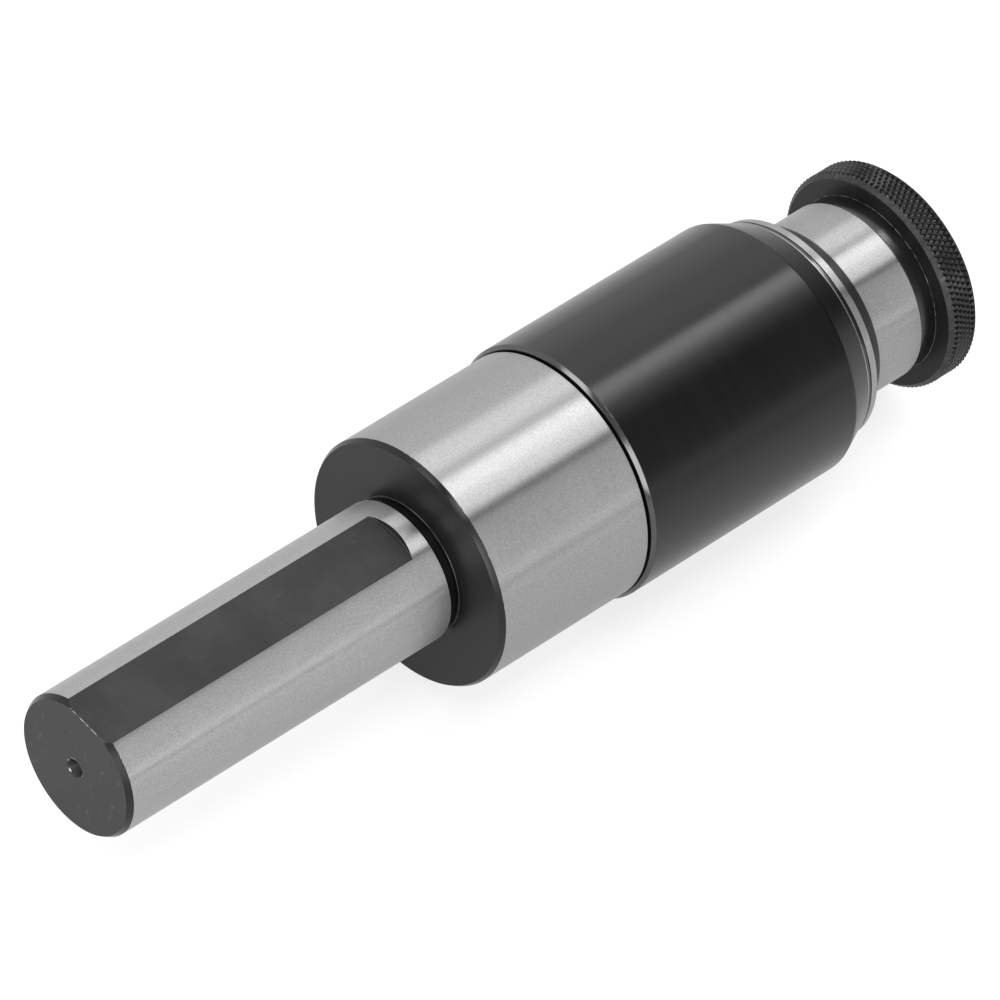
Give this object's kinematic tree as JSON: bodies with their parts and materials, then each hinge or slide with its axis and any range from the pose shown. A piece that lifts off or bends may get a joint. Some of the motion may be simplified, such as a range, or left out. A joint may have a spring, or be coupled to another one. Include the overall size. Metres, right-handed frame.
{
  "type": "tapping head",
  "caption": "Floating tapping head on a straight shank with a clamping flat: a sprung spindle on a ball spline carries a quick-change socket with a knurled release ring.",
  "frame": {"origin": "on the tool's axis, in the plane of the collar's rear face, which is the depth stop when the shank is in a holder", "axes": "+X along the axis from the shank towards the nose; +Z is the outward normal of the flat on the shank; +Y completes the right-hand frame"},
  "size_m": [0.18, 0.0454, 0.0454],
  "materials": {
    "ground_steel": "ground bright with fine marks round the axis; chamfers, relief and flat left black",
    "black_steel": "black oxide, satin, fine turning marks",
    "hardened_steel": "hardened and ground",
    "ball_steel": "polished",
    "spring_steel": "drawn wire, oiled",
    "bolt_steel": "black oxide",
    "bronze": "turned bronze",
    "seal_rubber": "matt black"
  },
  "bodies": {
    "housing": {"shank_body": "ground_steel", "housing_sleeve": "black_steel", "sleeve_seal": "seal_rubber", "ball_race": "hardened_steel", "race_pins": "hardened_steel", "nose_cap": "ground_steel", "front_bush": "bronze", "wiper_seal": "seal_rubber", "tension_rod": "bolt_steel", "stop_tube": "hardened_steel", "rod_washer": "hardened_steel", "tension_spring": "spring_steel", "spring_seat": "hardened_steel", "compression_spring": "spring_steel"},
    "cage": {"ball_cage": "bronze", "torque_balls": "ball_steel"},
    "spindle": {"spindle": "ground_steel", "socket_plug": "hardened_steel", "plug_snap_ring": "spring_steel", "nose_snap_ring": "spring_steel"},
    "ring_carrier": {"ring_washer": "hardened_steel", "ring_spring": "spring_steel"},
    "grip_ring": {"quick_change_ring": "black_steel"},
    "lock_1": {"locking_ball_1": "ball_steel"},
    "lock_2": {"locking_ball_2": "ball_steel"},
    "lock_3": {"locking_ball_3": "ball_steel"}
  },
  "joints": [
    {"name": "spindle_float", "type": "slide", "parent": "housing", "child": "spindle", "axis": [1, 0, 0], "range_m": [-0.008, 0.012], "stiffness_N_per_m": 15000, "deforming": ["tension_spring", "compression_spring"]},
    {"name": "cage_follow", "type": "slide", "parent": "housing", "child": "cage", "axis": [1, 0, 0], "range_m": [-0.004, 0.006]},
    {"name": "ring_spin", "type": "hinge", "parent": "spindle", "child": "ring_carrier", "pos_m": [0.105, 0, 0], "axis": [1, 0, 0], "continuous": true},
    {"name": "ring_release", "type": "slide", "parent": "ring_carrier", "child": "grip_ring", "axis": [1, 0, 0], "range_m": [0, 0.0025], "stiffness_N_per_m": 3000, "springref_m": -0.0015, "deforming": ["ring_spring"]},
    {"name": "ball_lift_1", "type": "slide", "parent": "spindle", "child": "lock_1", "axis": [0, 0, 1], "range_m": [0, 0.00086]},
    {"name": "ball_lift_2", "type": "slide", "parent": "spindle", "child": "lock_2", "axis": [0, -0.866, -0.5], "range_m": [0, 0.00086]},
    {"name": "ball_lift_3", "type": "slide", "parent": "spindle", "child": "lock_3", "axis": [0, 0.866, -0.5], "range_m": [0, 0.00086]}
  ],
  "couplings": [
    {"joint": "cage_follow", "follows": "spindle_float", "ratio": 0.5},
    {"joint": "ball_lift_1", "follows": "ring_release", "ratio": 0.34},
    {"joint": "ball_lift_2", "follows": "ring_release", "ratio": 0.34},
    {"joint": "ball_lift_3", "follows": "ring_release", "ratio": 0.34}
  ]
}
